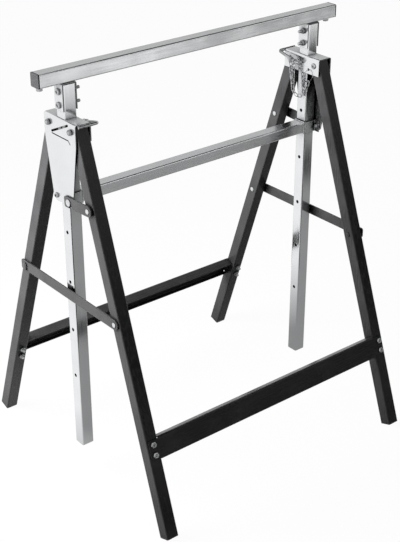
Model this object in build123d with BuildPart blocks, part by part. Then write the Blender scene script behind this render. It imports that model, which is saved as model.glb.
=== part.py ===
"""Height-adjustable folding trestle: a rail on two sliding posts, carried by two hinged leg frames.

Millimetres. The origin is on the floor under the middle of the trestle, X runs along the rail,
-Y is the front and +Z is up. Pieces at the two ends are turned half a turn about Z from each
other, so they are drawn once in (out, along, height): out points away from the middle, along is
towards the front at the left end and towards the back at the right end.
"""
import math
import os

from build123d import *

# Tubes
rail_length = 680.0
rail_top = 817.0
rail_side = 25.0
post_side = 25.0
leg_side = 25.0
tube_wall = 1.5
tube_corner = 2.5
plug_flange = 2.5
plug_stem = 24.0
plug_gap = 0.1

# Posts and their row of holes
post_inset = 59.0
post_bottom = 58.0
hole_pitch = 100.0
hole_count = 6
hole_diameter = 7.0

# Saddles between rail and posts
saddle_sheet = 2.0
saddle_bend = 3.0
saddle_gap = 0.1
saddle_drop = 49.0
saddle_bolt_drop = 16.0
saddle_bolt_pitch = 24.0

# Heads
head_sheet = 2.0
head_bend = 4.0
head_drop = 88.4
head_half_length = 48.0
head_gap = 1.7
inner_plate_depth = 33.6
outer_plate_kink = 40.0
outer_plate_depth = 157.0
outer_foot_half = 29.0
outer_foot_corner = 8.0
post_guide_gap = 0.5
slot_wide = 4.0
slot_thin = 2.0
slot_reach = 25.0
slot_drop = 32.8
slot_rise = 23.0
slot_hook = 5.5

# Mid bar and the yokes at its ends
mid_bar_height = 22.0
mid_bar_depth = 25.0
mid_bar_above_foot = 8.9
yoke_sheet = 2.0
yoke_gap = 0.75
yoke_height = 23.0
yoke_bend = 3.0
yoke_bolt_along = 20.5
yoke_ear = 6.0

# Leg frames
pivot_along = 34.0
pivot_drop = 15.0
leg_angle = 19.14
leg_splay = 0.6
leg_above_pivot = 8.0

# Low bars
low_bar_top = 557.5
low_bar_height = 43.5
low_bar_flange = 20.8
low_bar_flange_slope = 8.8
low_bar_lip = 10.0
low_bar_sheet = 2.0
low_bar_bend = 3.5
low_bar_end_gap = 0.3
low_bar_bolt_pitch = 20.0
low_bar_lap = 9.0
low_bar_corner = 4.0

# Braces and links
link_down = 137.0
brace_down = 341.0
link_width = 20.0
link_thickness = 3.0
link_gap = 0.4
link_corner = 4.0
link_hook_slant = 34.0
brace_hook_slant = 28.0
hook_clearance = 0.7
hook_beyond = 13.5

# Lock pins, rings and chains
pin_diameter = 6.0
pin_hole_gap = 0.1
pin_bend = 6.0
pin_tip_gap = 0.5
pin_push = 5.0
pin_home_gap = 3.8
pin_edge_gap = 1.6
pin_leg_rise = 12.9
pin_leg_length = 41.0
ring_wire = 2.0
ring_radius = 12.5
ring_along = -20.0
ring_hole_drop = 25.1
ring_hole_diameter = 5.0
eye_wire = 1.6
eye_radius = 5.5
eye_gap = 0.2
eye_along = 17.0
tail_along = 8.5
chain_wire = 1.8
chain_link_length = 13.0
chain_link_width = 8.0
chain_play = 0.3
chain_low_along = 1.0
chain_sag = 32.5
tail_length = 52.0

# Fasteners
pivot_bolt = 6.0
pivot_head = 10.0
pivot_head_height = 5.0
pivot_dome = 12.0
pivot_dome_height = 3.2
pivot_clearance = 0.08
m6 = 6.0
m6_across = 10.0
m6_head = 4.0
m6_nut = 5.0
m5 = 5.0
m5_across = 8.0
m5_head = 3.6
m5_nut = 4.0
saddle_bolt_tip = 8.0
bar_bolt_tip = 5.0
thread_gap = 0.05
hole_gap = 0.2
rivet = 6.0
rivet_head = 9.6
rivet_head_height = 2.2
stud = 8.0
stud_head = 13.0
stud_head_height = 3.0
face_gap = 0.15
rail_screw_inset = 11.0
rail_screw_along = 5.0
rail_screw_across = 11.0
rail_screw_head = 6.5
rail_washer = 15.0
rail_washer_height = 2.5

# Values that follow
rail_bottom = rail_top - rail_side
rail_screw_x = rail_length / 2 - rail_screw_inset
post_x = rail_length / 2 - post_inset
head_top = rail_top - head_drop
pivot_height = head_top - pivot_drop
pin_height = pivot_height
pin_leg_height = pin_height + pin_leg_rise
ring_hole_height = head_top - ring_hole_drop
ring_low = ring_hole_height - 2 * ring_radius
slot_low = head_top - slot_drop
post_top = rail_bottom - saddle_bend
post_half = post_side / 2
leg_half = leg_side / 2
saddle_outside = post_half + saddle_gap + saddle_sheet
saddle_bolts_at = [rail_bottom - saddle_bolt_drop, rail_bottom - saddle_bolt_drop - saddle_bolt_pitch]
plate_inside = max(post_half, leg_half) + head_gap
plate_outside = plate_inside + head_sheet
inner_plate_bottom = head_top - inner_plate_depth
outer_plate_bottom = head_top - outer_plate_depth
mid_bar_centre = outer_plate_bottom + mid_bar_above_foot
kink_height = head_top - outer_plate_kink
yoke_inside = post_half + yoke_gap
yoke_outside = yoke_inside + yoke_sheet
yoke_ear_end = yoke_bolt_along + yoke_ear
yoke_bottom = mid_bar_centre - yoke_height / 2
lean = math.radians(leg_angle)
splay = math.tan(math.radians(leg_splay))
leg_length = (pivot_height - leg_half * math.sin(lean)) / math.cos(lean)
low_bar_middle = low_bar_top + low_bar_height / 2
low_bar_outside = leg_half + low_bar_sheet
link_inside = plate_outside + link_gap
link_outside = link_inside + link_thickness
brace_inside = leg_half + brace_down * splay + link_gap
brace_outside = brace_inside + link_thickness
pin_radius = pin_diameter / 2
pin_bridge_out = -(plate_outside + pin_home_gap + pin_radius + pin_push)
pin_tip_out = -(post_half + pin_tip_gap)
pin_leg_along = head_half_length + pin_edge_gap + pin_radius
pin_slope = (pin_leg_height - pin_height) / pin_leg_along
pin_tilt = math.atan(pin_slope)
eye_drop = eye_radius - eye_wire / 2 - pin_radius - eye_gap

ENDS = {"left": -1, "right": 1}
SIDES = {"front": -1, "back": 1}
CORNERS = [(side, end) for side in SIDES for end in ENDS]

os.makedirs("parts", exist_ok=True)


def save(piece, name):
    """Label a finished piece and write it as its own file."""
    piece.part.label = name
    export_step(piece.part, f"parts/{name}.step")


def end_plane(sx, out):
    """Upright plane at one end, `out` from the post's axis: x is along, y is height, z is out."""
    return Plane(origin=(sx * (post_x + out), 0, 0), x_dir=(0, sx, 0), z_dir=(sx, 0, 0))


def end_section(sx):
    """Upright plane across one end: x is out from the post's axis, y is height."""
    return Plane(origin=(sx * post_x, 0, 0), x_dir=(sx, 0, 0), z_dir=(0, -sx, 0))


def end_point(sx, out, along, height):
    """Point at one end, given as out, along and height."""
    return Vector(sx * (post_x + out), sx * along, height)


def frame_plane(sy, off):
    """Plane of a leg frame, `off` outwards from the legs' axes: y runs up the legs from the pivot."""
    normal = Vector(0, sy * math.cos(lean), math.sin(lean))
    origin = Vector(0, sy * pivot_along, pivot_height) + normal * off
    return Plane(origin=origin, x_dir=(-sy, 0, 0), z_dir=normal)


def frame_section(sy):
    """Plane across a leg frame: x is outwards, y runs up the legs from the pivot."""
    normal = (0, sy * math.cos(lean), math.sin(lean))
    return Plane(origin=(0, sy * pivot_along, pivot_height), x_dir=normal, z_dir=(sy, 0, 0))


def leg_plane(sx, sy, down):
    """Plane across a leg, `down` from its pivot, looking down the leg."""
    reach = Vector(0, sy * math.sin(lean), -math.cos(lean))
    origin = Vector(sx * leg_x(down), sy * pivot_along, pivot_height) + reach * down
    return Plane(origin=origin, x_dir=(1, 0, 0), z_dir=reach)


def leg_direction(sx, sy):
    """Direction of a leg's axis, with its splay."""
    return Vector(sx * splay, sy * math.sin(lean), -math.cos(lean)).normalized()


def leg_x(down):
    """How far from the middle a leg's axis is, `down` from its pivot."""
    return post_x + down * splay


def on_leg(down):
    """Along and height of a leg's axis, `down` from its pivot."""
    return pivot_along + down * math.sin(lean), pivot_height - down * math.cos(lean)


def low_bar_spots(sy):
    """Places of the low bar's bolts in the plane of a leg frame."""
    downs = [low_bar_middle - low_bar_bolt_pitch / 2, low_bar_middle + low_bar_bolt_pitch / 2]
    return [(-sy * sx * leg_x(low_bar_middle), -down) for sx in ENDS.values() for down in downs]


def eye_point(sx, along, drop):
    """Point of a ring hung on a pin's bridge, `drop` below the bridge's axis."""
    height = pin_height + along * pin_slope - drop * math.cos(pin_tilt)
    return end_point(sx, pin_bridge_out, along + drop * math.sin(pin_tilt), height)


def tube_section(wide, deep):
    """Tube section in the current sketch."""
    RectangleRounded(wide, deep, tube_corner)
    RectangleRounded(wide - 2 * tube_wall, deep - 2 * tube_wall, tube_corner - tube_wall, mode=Mode.SUBTRACT)


def rod(plane, diameter, length, mode=Mode.ADD):
    """Round rod from a plane, on the current part."""
    with BuildSketch(plane) as disc:
        Circle(diameter / 2)
    extrude(disc.sketch, amount=length, mode=mode)


def bore(plane, diameter, length):
    """Round hole to both sides of a plane, in the current part."""
    with BuildSketch(plane) as disc:
        Circle(diameter / 2)
    extrude(disc.sketch, amount=length, both=True, mode=Mode.SUBTRACT)


def cross_plane(sx, out, along, height):
    """Plane square to X at a point of one end, looking outwards."""
    return Plane(origin=end_point(sx, out, along, height), x_dir=(0, sx, 0), z_dir=(sx, 0, 0))


def turned(plane):
    """The same plane, looking the other way."""
    return Plane(origin=plane.origin, x_dir=plane.x_dir, z_dir=-plane.z_dir)


def hexagon(plane, across, height):
    """Hexagon with a chamfered rim, standing on a plane of the current part."""
    with BuildSketch(plane) as foot:
        RegularPolygon(across / 2, 6, major_radius=False)
    extrude(foot.sketch, amount=height * 0.75)
    with BuildSketch(plane.offset(height * 0.75)) as rim:
        RegularPolygon(across / 2, 6, major_radius=False)
    extrude(rim.sketch, amount=height * 0.25, taper=40)


def bolt(plane, diameter, across, head, length):
    """Hexagon bolt with a dished head; the plane is its seat, looking out of the head."""
    hexagon(plane, across, head)
    rod(plane.offset(head), across * 0.5, -head * 0.3, mode=Mode.SUBTRACT)
    rod(plane, diameter, -length)


def nut(plane, diameter, across, height):
    """Hexagon nut on a plane of the current part."""
    hexagon(plane, across, height)
    rod(plane, diameter + 2 * thread_gap, height, mode=Mode.SUBTRACT)


def dome(plane, diameter, height):
    """Low round head with a sloped rim, standing on a plane of the current part."""
    rod(plane, diameter, height * 0.35)
    with BuildSketch(plane.offset(height * 0.35)) as rim:
        Circle(diameter / 2)
    extrude(rim.sketch, amount=height * 0.65, taper=50)


def folded(points, bend, sheet, side):
    """Face of a folded sheet in the current sketch, from the line of one of its surfaces."""
    with BuildLine() as outline:
        FilletPolyline(*points, radius=bend)
        offset(amount=sheet, side=side)
    make_face(outline.edges())


# Rail with its end plugs and the screws that hold them
with BuildPart() as rail:
    with BuildSketch(Plane(origin=(0, 0, rail_top - rail_side / 2), x_dir=(0, 1, 0), z_dir=(1, 0, 0))):
        tube_section(rail_side, rail_side)
    extrude(amount=rail_length / 2 - plug_flange, both=True)
    for sx in ENDS.values():
        bore(Plane(origin=(sx * rail_screw_x, rail_screw_along, rail_bottom)), m5 + 2 * hole_gap, 4)
save(rail, "rail")

for end, sx in ENDS.items():
    with BuildPart() as rail_plug:
        centre = (sx * rail_length / 2, 0, rail_top - rail_side / 2)
        face = Plane(origin=centre, x_dir=(0, 1, 0), z_dir=(sx, 0, 0))
        with BuildSketch(face):
            RectangleRounded(rail_side, rail_side, tube_corner)
        extrude(amount=-plug_flange)
        with BuildSketch(face.offset(-plug_flange)):
            stem = rail_side - 2 * tube_wall - 2 * plug_gap
            RectangleRounded(stem, stem, tube_corner - tube_wall)
        extrude(amount=-plug_stem)
        screw_at = Plane(origin=(sx * rail_screw_x, rail_screw_along, rail_bottom))
        rod(screw_at, m5 + 2 * hole_gap, rail_side - 6, mode=Mode.SUBTRACT)
    save(rail_plug, f"rail_plug_{end}")

with BuildPart() as rail_screws:
    for sx in ENDS.values():
        seat = Plane(origin=(sx * rail_screw_x, rail_screw_along, rail_bottom), z_dir=(0, 0, -1))
        rod(seat, rail_washer, rail_washer_height)
        hexagon(seat.offset(rail_washer_height), rail_screw_across, rail_screw_head)
        rod(seat, m5, -(rail_side - 9))
save(rail_screws, "rail_screws")

# Saddles and posts
for end, sx in ENDS.items():
    with BuildPart() as saddle:
        low = rail_bottom - saddle_drop
        corners = [(-saddle_outside, low), (-saddle_outside, rail_bottom),
                   (saddle_outside, rail_bottom), (saddle_outside, low)]
        with BuildSketch(end_section(sx)):
            folded(corners, saddle_bend, saddle_sheet, Side.RIGHT)
        extrude(amount=post_half, both=True)
        for height in saddle_bolts_at:
            bore(cross_plane(sx, 0, 0, height), m6 + 2 * hole_gap, saddle_outside + 1)
    save(saddle, f"saddle_{end}")

    with BuildPart() as post:
        with BuildSketch(Plane(origin=(sx * post_x, 0, post_bottom))):
            tube_section(post_side, post_side)
        extrude(amount=post_top - post_bottom)
        for step in range(hole_count):
            bore(cross_plane(sx, 0, 0, pin_height - step * hole_pitch), hole_diameter, post_side)
        for height in saddle_bolts_at:
            bore(cross_plane(sx, 0, 0, height), m6 + 2 * hole_gap, post_side)
    save(post, f"post_{end}")

with BuildPart() as saddle_bolts:
    for sx in ENDS.values():
        for height in saddle_bolts_at:
            grip = 2 * saddle_outside + m6_nut + saddle_bolt_tip
            bolt(cross_plane(sx, saddle_outside, 0, height), m6, m6_across, m6_head, grip)
save(saddle_bolts, "saddle_bolts")

with BuildPart() as saddle_nuts:
    for sx in ENDS.values():
        for height in saddle_bolts_at:
            nut(turned(cross_plane(sx, -saddle_outside, 0, height)), m6, m6_across, m6_nut)
save(saddle_nuts, "saddle_nuts")

# Heads: short inner plate, top with the post's opening, long tapered outer plate
for end, sx in ENDS.items():
    with BuildPart() as head:
        corners = [(-plate_outside, inner_plate_bottom), (-plate_outside, head_top),
                   (plate_outside, head_top), (plate_outside, inner_plate_bottom)]
        with BuildSketch(end_section(sx)):
            folded(corners, head_bend, head_sheet, Side.RIGHT)
        extrude(amount=head_half_length, both=True)
        with BuildSketch(end_plane(sx, plate_inside)):
            overlap = inner_plate_bottom + head_sheet
            with BuildLine():
                Polyline((-head_half_length, overlap), (-head_half_length, kink_height),
                         (-outer_foot_half, outer_plate_bottom), (outer_foot_half, outer_plate_bottom),
                         (head_half_length, kink_height), (head_half_length, overlap), close=True)
            make_face()
            fillet(vertices().group_by(Axis.Y)[0], radius=outer_foot_corner)
        extrude(amount=head_sheet)
        with BuildSketch(Plane(origin=(sx * post_x, 0, head_top))):
            opening = post_side + 2 * post_guide_gap
            RectangleRounded(opening, opening, tube_corner)
        extrude(amount=head_sheet * 2, both=True, mode=Mode.SUBTRACT)
        for along in (-pivot_along, pivot_along):
            bore(cross_plane(sx, 0, along, pivot_height), pivot_bolt + 2 * hole_gap, plate_outside + 1)
        bore(cross_plane(sx, -plate_outside, 0, pin_height), pin_diameter + 2 * pin_hole_gap, 2 * head_sheet)
        ring_hole = cross_plane(sx, -plate_outside, ring_along, ring_hole_height)
        bore(ring_hole, ring_hole_diameter, 2 * head_sheet)
        for along in (-yoke_bolt_along, yoke_bolt_along):
            bore(cross_plane(sx, plate_inside, along, mid_bar_centre), m5 + 2 * hole_gap, 2 * head_sheet)
        with BuildSketch(end_plane(sx, plate_inside)):
            rise = math.degrees(math.atan2(slot_rise, 2 * slot_reach))
            with Locations((0, slot_low + slot_wide + slot_rise / 2)):
                SlotCenterToCenter(math.hypot(2 * slot_reach, slot_rise), slot_wide, rotation=rise)
            with Locations((0, slot_low)):
                SlotCenterToCenter(2 * slot_reach, slot_thin)
            with Locations((slot_reach + slot_hook / 2, slot_low - slot_hook / 2)):
                SlotCenterToCenter(math.hypot(slot_hook, slot_hook), slot_thin, rotation=-45)
        extrude(amount=2 * head_sheet, both=True, mode=Mode.SUBTRACT)
    save(head, f"head_{end}")

# Mid bar and the yokes that guide the posts
with BuildPart() as mid_bar:
    with BuildSketch(Plane(origin=(0, 0, mid_bar_centre), x_dir=(0, 1, 0), z_dir=(1, 0, 0))):
        tube_section(mid_bar_depth, mid_bar_height)
    extrude(amount=post_x - yoke_outside, both=True)
save(mid_bar, "mid_bar")

for end, sx in ENDS.items():
    with BuildPart() as yoke:
        with BuildSketch(Plane(origin=(sx * post_x, 0, yoke_bottom), x_dir=(sx, 0, 0))):
            corners = [(plate_inside, -yoke_ear_end), (plate_inside, -yoke_inside),
                       (-yoke_inside, -yoke_inside), (-yoke_inside, yoke_inside),
                       (plate_inside, yoke_inside), (plate_inside, yoke_ear_end)]
            folded(corners, yoke_bend, yoke_sheet, Side.LEFT)
        extrude(amount=yoke_height)
        for along in (-yoke_bolt_along, yoke_bolt_along):
            bore(cross_plane(sx, plate_inside, along, mid_bar_centre), m5 + 2 * hole_gap, 2 * yoke_sheet)
    save(yoke, f"yoke_{end}")

with BuildPart() as yoke_bolts:
    for sx in ENDS.values():
        seat = cross_plane(sx, plate_outside, -yoke_bolt_along, mid_bar_centre)
        bolt(seat, m5, m5_across, m5_head, head_sheet + yoke_sheet + m5_nut + 1)
save(yoke_bolts, "yoke_bolts")

with BuildPart() as hook_studs:
    for sx in ENDS.values():
        seat = cross_plane(sx, plate_outside, yoke_bolt_along, mid_bar_centre)
        rod(seat, m5, -(head_sheet + yoke_sheet + m5_nut + 1))
        rod(seat, stud, link_thickness + 2 * link_gap)
        dome(seat.offset(link_thickness + 2 * link_gap), stud_head, stud_head_height)
save(hook_studs, "hook_studs")

with BuildPart() as yoke_nuts:
    for sx in ENDS.values():
        for along in (-yoke_bolt_along, yoke_bolt_along):
            seat = cross_plane(sx, plate_inside - yoke_sheet, along, mid_bar_centre)
            nut(turned(seat), m5, m5_across, m5_nut)
save(yoke_nuts, "yoke_nuts")

# Bolts that the legs turn on, with low round heads on the inner plates
with BuildPart() as pivot_bolts:
    for sx in ENDS.values():
        for along in (-pivot_along, pivot_along):
            seat = turned(cross_plane(sx, -plate_outside, along, pivot_height))
            dome(seat, pivot_dome, pivot_dome_height)
            rod(seat, pivot_bolt, -(2 * plate_outside + pivot_head_height + 0.5))
save(pivot_bolts, "pivot_bolts")

with BuildPart() as pivot_nuts:
    for sx in ENDS.values():
        for along in (-pivot_along, pivot_along):
            seat = cross_plane(sx, plate_outside, along, pivot_height)
            nut(seat, pivot_bolt, pivot_head, pivot_head_height)
save(pivot_nuts, "pivot_nuts")

# Legs and foot plugs
for side, end in CORNERS:
    sx = ENDS[end]
    sy = SIDES[side]
    stretch = math.hypot(1, splay)
    with BuildPart() as leg:
        with BuildSketch(leg_plane(sx, sy, -leg_above_pivot)):
            tube_section(leg_side, leg_side)
        reach = leg_above_pivot + leg_length - plug_flange
        extrude(amount=reach * stretch, dir=leg_direction(sx, sy))
        turning = cross_plane(sx, 0, sx * sy * pivot_along, pivot_height)
        bore(turning, pivot_bolt + 2 * pivot_clearance, leg_side)
        for down in (link_down, brace_down) if sx == sy else (brace_down,):
            along, height = on_leg(down)
            bore(cross_plane(sx, 0, sx * sy * along, height), rivet + 2 * hole_gap, leg_side + 5)
        with BuildSketch(frame_plane(sy, 0)):
            with Locations(*low_bar_spots(sy)):
                Circle(m6 / 2 + hole_gap)
        extrude(amount=leg_side, both=True, mode=Mode.SUBTRACT)
    save(leg, f"leg_{side}_{end}")

    with BuildPart() as foot_plug:
        with BuildSketch(leg_plane(sx, sy, leg_length)):
            RectangleRounded(leg_side, leg_side, tube_corner)
        extrude(amount=-plug_flange * stretch, dir=leg_direction(sx, sy))
        with BuildSketch(leg_plane(sx, sy, leg_length - plug_flange)):
            stem = leg_side - 2 * tube_wall - 2 * plug_gap
            RectangleRounded(stem, stem, tube_corner - tube_wall)
        extrude(amount=-plug_stem * stretch, dir=leg_direction(sx, sy))
    save(foot_plug, f"foot_plug_{side}_{end}")

# Low bars: a deep flange at the top, a short lip at the bottom, flat tabs over the legs
for side, sy in SIDES.items():
    with BuildPart() as low_bar:
        clear_half = leg_x(low_bar_top) - leg_half - low_bar_end_gap
        low_bar_bottom = low_bar_top + low_bar_height
        slope = math.radians(low_bar_flange_slope)
        flange_end = (low_bar_outside - low_bar_flange * math.cos(slope),
                      -low_bar_top - low_bar_flange * math.sin(slope))
        corners = [flange_end, (low_bar_outside, -low_bar_top), (low_bar_outside, -low_bar_bottom),
                   (low_bar_outside - low_bar_lip, -low_bar_bottom)]
        with BuildSketch(frame_section(sy)):
            folded(corners, low_bar_bend, low_bar_sheet, Side.RIGHT)
        extrude(amount=clear_half, both=True)
        with BuildSketch(frame_plane(sy, leg_half)):
            with Locations((0, -low_bar_middle)):
                full = 2 * (leg_x(low_bar_middle) + low_bar_lap)
                RectangleRounded(full, low_bar_height - 2 * low_bar_bend, low_bar_corner)
            with Locations(*low_bar_spots(sy)):
                Circle(m6 / 2 + hole_gap, mode=Mode.SUBTRACT)
        extrude(amount=low_bar_sheet)
    save(low_bar, f"low_bar_{side}")

    with BuildPart() as bar_bolts:
        seats = frame_plane(sy, low_bar_outside)
        for x, y in low_bar_spots(sy):
            seat = Plane(origin=seats.from_local_coords((x, y, 0)), x_dir=seats.x_dir, z_dir=seats.z_dir)
            bolt(seat, m6, m6_across, m6_head, low_bar_sheet + leg_side + m6_nut + bar_bolt_tip)
    save(bar_bolts, f"{side}_bar_bolts")

    with BuildPart() as bar_nuts:
        seats = frame_plane(sy, -leg_half)
        for x, y in low_bar_spots(sy):
            seat = Plane(origin=seats.from_local_coords((x, y, 0)), x_dir=seats.x_dir, z_dir=-seats.z_dir)
            nut(seat, m6, m6_across, m6_nut)
    save(bar_nuts, f"{side}_bar_nuts")

    # Pivots of this frame's brace and link, and the stud for the other end's brace
    with BuildPart() as rivets:
        for down, inside, outside in ((link_down, link_inside, link_outside),
                                      (brace_down, brace_inside, brace_outside)):
            along, height = on_leg(down)
            shift = down * splay
            back = cross_plane(sy, shift - leg_half - face_gap, along, height)
            front = cross_plane(sy, outside + link_gap / 2, along, height)
            collar = cross_plane(sy, shift + leg_half + face_gap, along, height)
            rod(back, rivet, outside + link_gap / 2 - (shift - leg_half - face_gap))
            rod(collar, rivet_head, inside - link_gap / 4 - (shift + leg_half + face_gap))
            dome(front, rivet_head, rivet_head_height)
            dome(turned(back), rivet_head, rivet_head_height)
    save(rivets, f"{side}_rivets")

    with BuildPart() as brace_stud:
        along, height = on_leg(brace_down)
        shift = brace_down * splay
        back = cross_plane(-sy, shift - leg_half - face_gap, -along, height)
        collar = cross_plane(-sy, shift + leg_half + face_gap, -along, height)
        rod(back, rivet, brace_inside - (shift - leg_half - face_gap))
        rod(collar, stud, brace_outside + link_gap - (shift + leg_half + face_gap))
        dome(cross_plane(-sy, brace_outside + link_gap, -along, height), stud_head, stud_head_height)
        dome(turned(back), rivet_head, rivet_head_height)
    save(brace_stud, f"{side}_brace_stud")

# Braces and links: flat bars, pivoted at one end and hooked over a stud at the other
for end, sx in ENDS.items():
    link_hook = (yoke_bolt_along, mid_bar_centre)
    brace_hook = (-on_leg(brace_down)[0], on_leg(brace_down)[1])
    for kind, inside, pivot, hook, hook_slant in (
        ("link", link_inside, on_leg(link_down), link_hook, link_hook_slant),
        ("brace", brace_inside, on_leg(brace_down), brace_hook, brace_hook_slant),
    ):
        with BuildPart() as flat:
            towards = Vector(0, sx * (pivot[0] - hook[0]), pivot[1] - hook[1])
            length = towards.length
            bar = Plane(origin=end_point(sx, inside, *hook), x_dir=towards, z_dir=(sx, 0, 0))
            with BuildSketch(bar):
                with BuildLine():
                    Polyline((-hook_beyond, -link_width / 2), (length, -link_width / 2),
                             (length, link_width / 2), (-hook_beyond, link_width / 2), close=True)
                make_face()
                fillet(vertices().group_by(Axis.X)[0], radius=link_corner)
                with Locations((length, 0)):
                    Circle(link_width / 2)
                    Circle(rivet / 2 + pivot_clearance, mode=Mode.SUBTRACT)
                slant = math.radians(hook_slant)
                with Locations((link_width / 2 * math.sin(slant), -link_width / 2 * math.cos(slant))):
                    SlotCenterToCenter(link_width, stud + 2 * hook_clearance, rotation=-90 + hook_slant,
                                       mode=Mode.SUBTRACT)
            extrude(amount=link_thickness)
        save(flat, f"{kind}_{end}")

# Lock pins, drawn back just clear of the posts, and the rings for the chains
for end, sx in ENDS.items():
    with BuildPart() as lock_pin:
        with BuildLine() as bent:
            FilletPolyline(end_point(sx, pin_tip_out, 0, pin_height),
                           end_point(sx, pin_bridge_out, 0, pin_height),
                           end_point(sx, pin_bridge_out, pin_leg_along, pin_leg_height),
                           end_point(sx, pin_bridge_out + pin_leg_length, pin_leg_along, pin_leg_height),
                           radius=pin_bend)
        with BuildSketch(turned(cross_plane(sx, pin_tip_out, 0, pin_height))):
            Circle(pin_radius)
        sweep(path=bent.wires()[0])
    save(lock_pin, f"lock_pin_{end}")

    with BuildPart() as pin_ring:
        for along in (eye_along, tail_along):
            centre = eye_point(sx, along, eye_drop)
            with Locations(Plane(origin=centre, x_dir=(1, 0, 0), z_dir=(0, sx, pin_slope))):
                Torus(eye_radius, eye_wire / 2)
    save(pin_ring, f"pin_ring_{end}")

    with BuildPart() as chain_ring:
        ring_out = -(plate_inside + plate_outside) / 2
        centre = end_point(sx, ring_out, ring_along, ring_hole_height - ring_radius)
        with Locations(Plane(origin=centre, x_dir=(1, 0, 0), z_dir=(0, 1, 0))):
            Torus(ring_radius, ring_wire / 2)
    save(chain_ring, f"chain_ring_{end}")

# One chain link, lying along X
with BuildPart() as link_shape:
    link_bend = (chain_link_width - chain_wire) / 2
    link_straight = (chain_link_length - chain_link_width) / 2
    with BuildLine() as oval:
        far = link_straight + link_bend
        Line((-link_straight, link_bend), (link_straight, link_bend))
        ThreePointArc((link_straight, link_bend), (far, 0), (link_straight, -link_bend))
        Line((link_straight, -link_bend), (-link_straight, -link_bend))
        ThreePointArc((-link_straight, -link_bend), (-far, 0), (-link_straight, link_bend))
    with BuildSketch(Plane(origin=(0, link_bend, 0), z_dir=(1, 0, 0))):
        Circle(chain_wire / 2)
    sweep(path=oval.wires()[0])

# Chains: from the ring in the plate down and up to the pin, with a loose tail
for end, sx in ENDS.items():
    pitch_most = chain_link_length - 2 * chain_wire - chain_play
    ring_out = -(plate_inside + plate_outside) / 2
    hang = [end_point(sx, ring_out, ring_along, ring_low),
            end_point(sx, (ring_out + pin_bridge_out) / 2, chain_low_along, ring_low - chain_sag),
            eye_point(sx, eye_along, eye_drop + eye_radius)]
    tail_top = eye_point(sx, tail_along, eye_drop + eye_radius)
    tail = [tail_top, tail_top - Vector(0, 0, tail_length)]
    with BuildPart() as chain:
        swags = [Spline(*hang, tangents=((0, sx * 0.15, -1), (0, sx * 0.15, 1)), mode=Mode.PRIVATE),
                 Line(*tail, mode=Mode.PRIVATE)]
        for swag in swags:
            spare = chain_link_length / 2 - chain_wire - (ring_wire + chain_play) / 2
            count = 2 * math.ceil((swag.length - 2 * spare) / pitch_most / 2) + 1
            pitch = (swag.length - 2 * spare) / (count - 1)
            for number in range(count):
                share = (spare + number * pitch) / swag.length
                tangent = swag % share
                across = tangent.cross(Vector(1, 0, 0)) if number % 2 else Vector(1, 0, 0)
                with Locations(Plane(origin=swag @ share, x_dir=tangent, z_dir=across)):
                    add(link_shape.part)
    save(chain, f"chain_{end}")
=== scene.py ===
"""Dresses the folding trestle: zinc and paint finishes, turned heads, chains and the photo stage."""
import math

import bmesh
import bpy
from bpy.props import FloatProperty, FloatVectorProperty, PointerProperty
from bpy.types import Operator, Panel, PropertyGroup
from mathutils import Matrix, Quaternion, Vector


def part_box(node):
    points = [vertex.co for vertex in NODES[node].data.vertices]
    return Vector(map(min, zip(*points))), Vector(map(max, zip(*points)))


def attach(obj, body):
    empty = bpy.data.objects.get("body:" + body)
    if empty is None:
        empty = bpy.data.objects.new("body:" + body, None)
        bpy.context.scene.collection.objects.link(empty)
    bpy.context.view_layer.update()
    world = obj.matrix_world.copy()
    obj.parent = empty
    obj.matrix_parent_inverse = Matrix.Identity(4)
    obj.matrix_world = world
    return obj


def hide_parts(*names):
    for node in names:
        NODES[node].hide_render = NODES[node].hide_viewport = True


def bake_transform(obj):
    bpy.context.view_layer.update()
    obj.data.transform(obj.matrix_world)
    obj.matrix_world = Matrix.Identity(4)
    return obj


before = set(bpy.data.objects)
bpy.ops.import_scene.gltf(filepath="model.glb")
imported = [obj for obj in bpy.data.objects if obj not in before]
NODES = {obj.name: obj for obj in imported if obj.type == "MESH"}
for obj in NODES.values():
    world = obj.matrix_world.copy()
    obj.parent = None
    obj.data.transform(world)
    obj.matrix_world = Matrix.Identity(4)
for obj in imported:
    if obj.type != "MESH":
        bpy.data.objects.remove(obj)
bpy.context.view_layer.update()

bl_info = {
    "name": "Folding trestle",
    "version": (1, 0, 0),
    "blender": (4, 5, 0),
    "location": "3D View > Sidebar > Trestle",
    "description": "Finishes and fittings of a height-adjustable folding trestle",
    "category": "Object",
}

ENDS = {"left": -1, "right": 1}
SIDES = {"front": -1, "back": 1}
HEXAGON = 6
THREAD_STEPS = 20
THREAD_LENGTH = 0.013
RIVET_SLACK = 0.0002
STUD_SLACK = 0.0004
HOOK_PLAY = 0.0008
HOOK_DEPTH = 0.009
HOOK_CHAMFER = 0.0005
SHARP_ANGLE = math.radians(38)
WELD = 1e-6

# Links beyond these shares of the way from pin to ring belong to the ring's strand and the pin's strand
RING_STRAND = 0.7
PIN_STRAND = 0.2


def length_prop(label, words, value):
    """A length property in metres."""
    return FloatProperty(name=label, description=words, unit="LENGTH", default=value)


def angle_prop(label, words, value):
    """An angle property in radians."""
    return FloatProperty(name=label, description=words, subtype="ANGLE", unit="ROTATION", default=value)


def share_prop(label, words, value):
    """A property from 0 to 1."""
    return FloatProperty(name=label, description=words, subtype="FACTOR", min=0, max=1, default=value)


def power_prop(label, words, value):
    """Power of a lamp in watts."""
    return FloatProperty(name=label, description=words, unit="POWER", default=value)


def colour_prop(label, words, *value):
    """An opaque colour property."""
    return FloatVectorProperty(name=label, description=words, subtype="COLOR", size=4, min=0, max=1,
                               default=(*value, 1))


def point_prop(label, words, *value):
    """A place in metres."""
    return FloatVectorProperty(name=label, description=words, subtype="TRANSLATION", unit="LENGTH", size=3,
                               default=value)


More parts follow.
